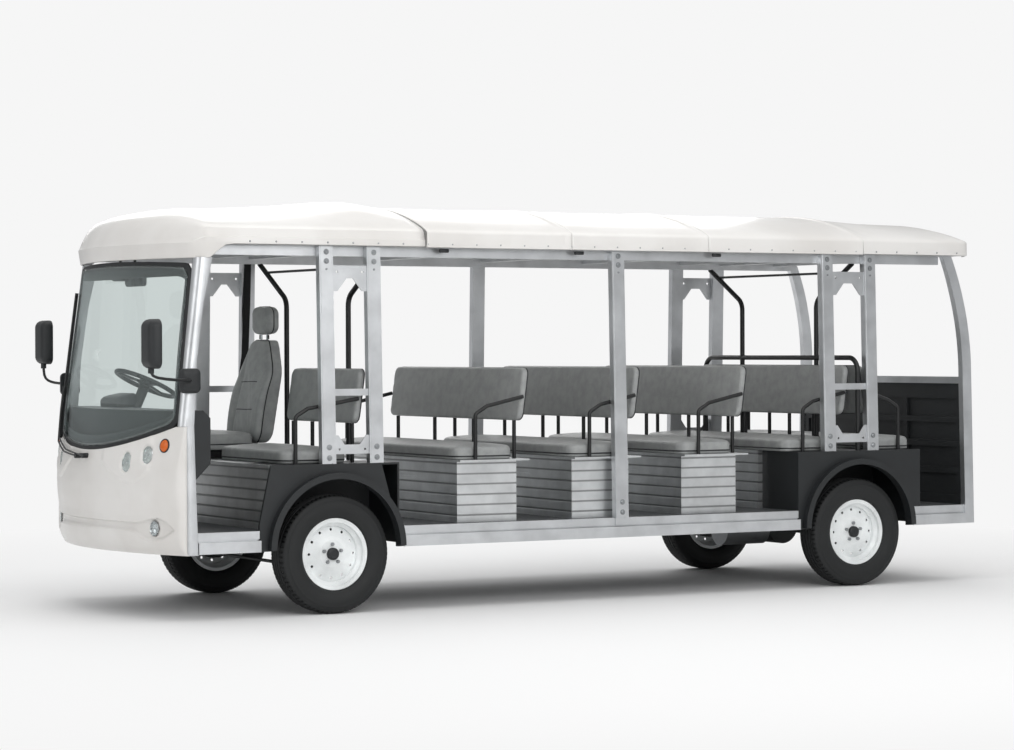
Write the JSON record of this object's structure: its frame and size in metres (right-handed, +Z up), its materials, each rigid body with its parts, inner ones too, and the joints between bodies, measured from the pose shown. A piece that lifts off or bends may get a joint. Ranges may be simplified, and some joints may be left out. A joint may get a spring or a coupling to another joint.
{
  "type": "electric shuttle bus",
  "caption": "Open-sided electric shuttle bus with a curved glass front, bench rows, aluminium side posts and a moulded roof, on steered front wheels.",
  "frame": {"origin": "on the ground under the middle of the bus's whole length and width, mirrors included", "axes": "+X forward, +Y to the bus's left, +Z up"},
  "size_m": [6.0115, 2.525, 2.445],
  "materials": {
    "body_paint": "satin",
    "aluminium_extrusion": "satin",
    "black_plastic": "textured",
    "black_steel": "satin",
    "black_rubber": "matte",
    "clear_glass": "clear",
    "floor_vinyl": "ribbed",
    "grey_vinyl": "grained",
    "wheel_paint": "gloss",
    "tyre_rubber": "matte",
    "cast_alloy": "cast",
    "lamp_lens": "clear lens"
  },
  "bodies": {
    "root": {"chassis_frame": "black_steel", "floor": "floor_vinyl", "sills": "aluminium_extrusion", "nose_shell": "body_paint", "windshield": "clear_glass", "windshield_seal": "black_rubber", "a_pillars": "aluminium_extrusion", "side_posts": "aluminium_extrusion", "post_plates": "aluminium_extrusion", "rear_frame": "aluminium_extrusion", "roof_frame": "aluminium_extrusion", "roof_front_cap": "body_paint", "roof_panels": "body_paint", "rear_panel": "body_paint", "rear_lining": "black_plastic", "front_arches": "black_plastic", "rear_arches": "black_plastic", "seat_boxes": "aluminium_extrusion", "bench_cushions": "grey_vinyl", "bench_backs": "grey_vinyl", "seat_frames": "black_steel", "driver_cushion": "grey_vinyl", "driver_back": "grey_vinyl", "driver_headrest": "grey_vinyl", "hoops": "black_steel", "dashboard": "black_plastic", "steering_column": "black_plastic", "mirror_left": "black_plastic", "mirror_right": "black_plastic", "wiper": "black_steel", "lamps": "lamp_lens", "front_axle": "black_steel", "rear_axle": "black_steel", "leaf_springs": "black_steel", "drive_motor": "cast_alloy", "battery_pack": "black_plastic"},
    "knuckle_left": {"knuckle_left": "black_steel"},
    "knuckle_right": {"knuckle_right": "black_steel"},
    "tie_rod": {"tie_rod": "black_steel"},
    "steering_wheel": {"steering_wheel": "black_plastic"},
    "wheel_front_left": {"rim_front_left": "wheel_paint", "tyre_front_left": "tyre_rubber"},
    "wheel_front_right": {"rim_front_right": "wheel_paint", "tyre_front_right": "tyre_rubber"},
    "wheel_rear_left": {"rim_rear_left": "wheel_paint", "tyre_rear_left": "tyre_rubber"},
    "wheel_rear_right": {"rim_rear_right": "wheel_paint", "tyre_rear_right": "tyre_rubber"}
  },
  "joints": [
    {"name": "steer_left", "type": "hinge", "parent": "root", "child": "knuckle_left", "pos_m": [1.695, 0.75, 0.348], "axis": [0, 0, 1], "range_deg": [-32, 32]},
    {"name": "steer_right", "type": "hinge", "parent": "root", "child": "knuckle_right", "pos_m": [1.695, -0.75, 0.348], "axis": [0, 0, 1], "range_deg": [-32, 32]},
    {"name": "tie_rod_turn", "type": "hinge", "parent": "knuckle_left", "child": "tie_rod", "pos_m": [1.845, 0.735, 0.2787], "axis": [0, 0, 1], "range_deg": [-33, 33]},
    {"name": "steering_wheel_turn", "type": "hinge", "parent": "root", "child": "steering_wheel", "pos_m": [2.32, -0.42, 1.335], "axis": [-0.4226, 0, 0.9063], "range_deg": [-450, 450]},
    {"name": "wheel_front_left_spin", "type": "hinge", "parent": "knuckle_left", "child": "wheel_front_left", "pos_m": [1.695, 0.8365, 0.348], "axis": [0, 1, 0], "continuous": true},
    {"name": "wheel_front_right_spin", "type": "hinge", "parent": "knuckle_right", "child": "wheel_front_right", "pos_m": [1.695, -0.8365, 0.348], "axis": [0, 1, 0], "continuous": true},
    {"name": "wheel_rear_left_spin", "type": "hinge", "parent": "root", "child": "wheel_rear_left", "pos_m": [-2.065, 0.8365, 0.348], "axis": [0, 1, 0], "continuous": true},
    {"name": "wheel_rear_right_spin", "type": "hinge", "parent": "root", "child": "wheel_rear_right", "pos_m": [-2.065, -0.8365, 0.348], "axis": [0, 1, 0], "continuous": true}
  ],
  "couplings": [
    {"joint": "steer_right", "follows": "steer_left", "ratio": 1},
    {"joint": "tie_rod_turn", "follows": "steer_left", "ratio": -1.02},
    {"joint": "steering_wheel_turn", "follows": "steer_left", "ratio": 14}
  ]
}
